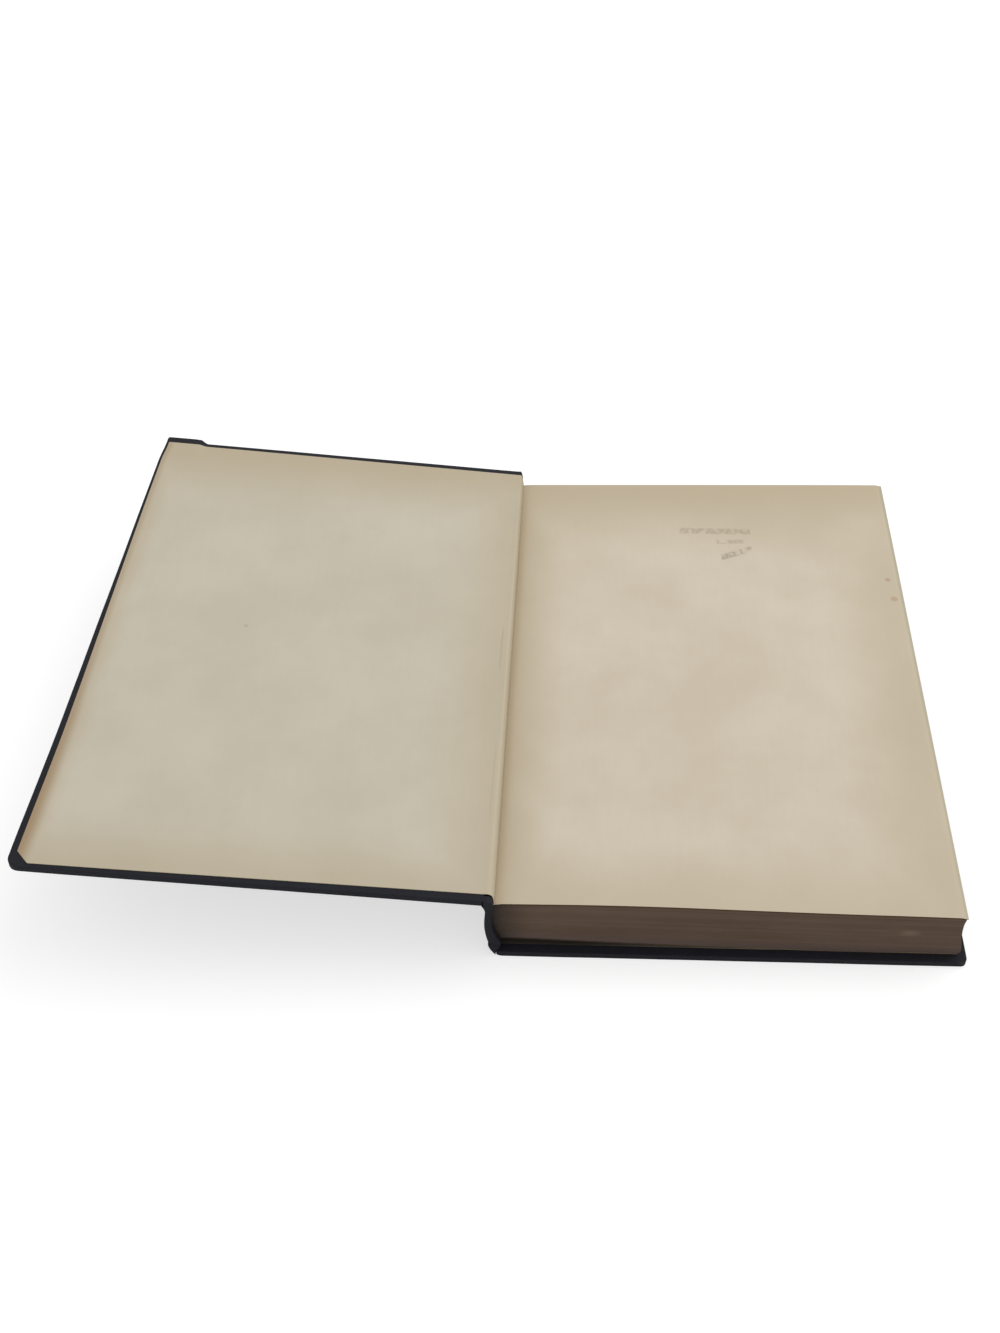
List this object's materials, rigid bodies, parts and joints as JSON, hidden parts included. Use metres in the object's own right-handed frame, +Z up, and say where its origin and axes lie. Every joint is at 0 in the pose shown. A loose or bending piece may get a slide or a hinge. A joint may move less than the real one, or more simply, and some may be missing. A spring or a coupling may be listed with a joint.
{
  "type": "open hardback book",
  "caption": "Case-bound cloth book lying open at its front cover with the flyleaf showing; both covers turn on their cloth joints.",
  "frame": {"origin": "middle of the back cover's underside, which the book lies on", "axes": "+X from the spine to the pages' fore edge, +Y from tail to head, +Z up"},
  "size_m": [0.2997, 0.2216, 0.0435],
  "materials": {
    "pages": "matt, edges browned with age",
    "endpaper": "matt, toned towards its edges",
    "cloth": "woven book cloth, rubbed at the edges",
    "board": "matt grey board",
    "gauze": "open weave, starched",
    "lining_paper": "matt brown paper"
  },
  "bodies": {
    "text_block": {"text_block": "pages", "front_flyleaf": "endpaper", "back_flyleaf": "endpaper", "spine_mull": "gauze", "spine_lining": "lining_paper", "spine_card": "board", "spine_cloth": "cloth", "front_joint_cloth": "cloth", "front_fold_paper": "endpaper", "back_joint_cloth": "cloth", "back_fold_paper": "endpaper"},
    "front_cover": {"front_board": "board", "front_cover_cloth": "cloth", "front_mull_flap": "gauze", "front_pastedown": "endpaper"},
    "back_cover": {"back_board": "board", "back_cover_cloth": "cloth", "back_mull_flap": "gauze", "back_pastedown": "endpaper"}
  },
  "joints": [
    {"name": "front_cover_hinge", "type": "hinge", "parent": "text_block", "child": "front_cover", "pos_m": [-0.0758, 0, 0.02652], "axis": [0, 1, 0], "range_deg": [-12, 173.9], "deforming": ["front_joint_cloth", "front_fold_paper"]},
    {"name": "back_cover_hinge", "type": "hinge", "parent": "text_block", "child": "back_cover", "pos_m": [-0.0758, 0, 0.00235], "axis": [0, 1, 0], "range_deg": [0, 180], "deforming": ["back_joint_cloth", "back_fold_paper"]}
  ]
}
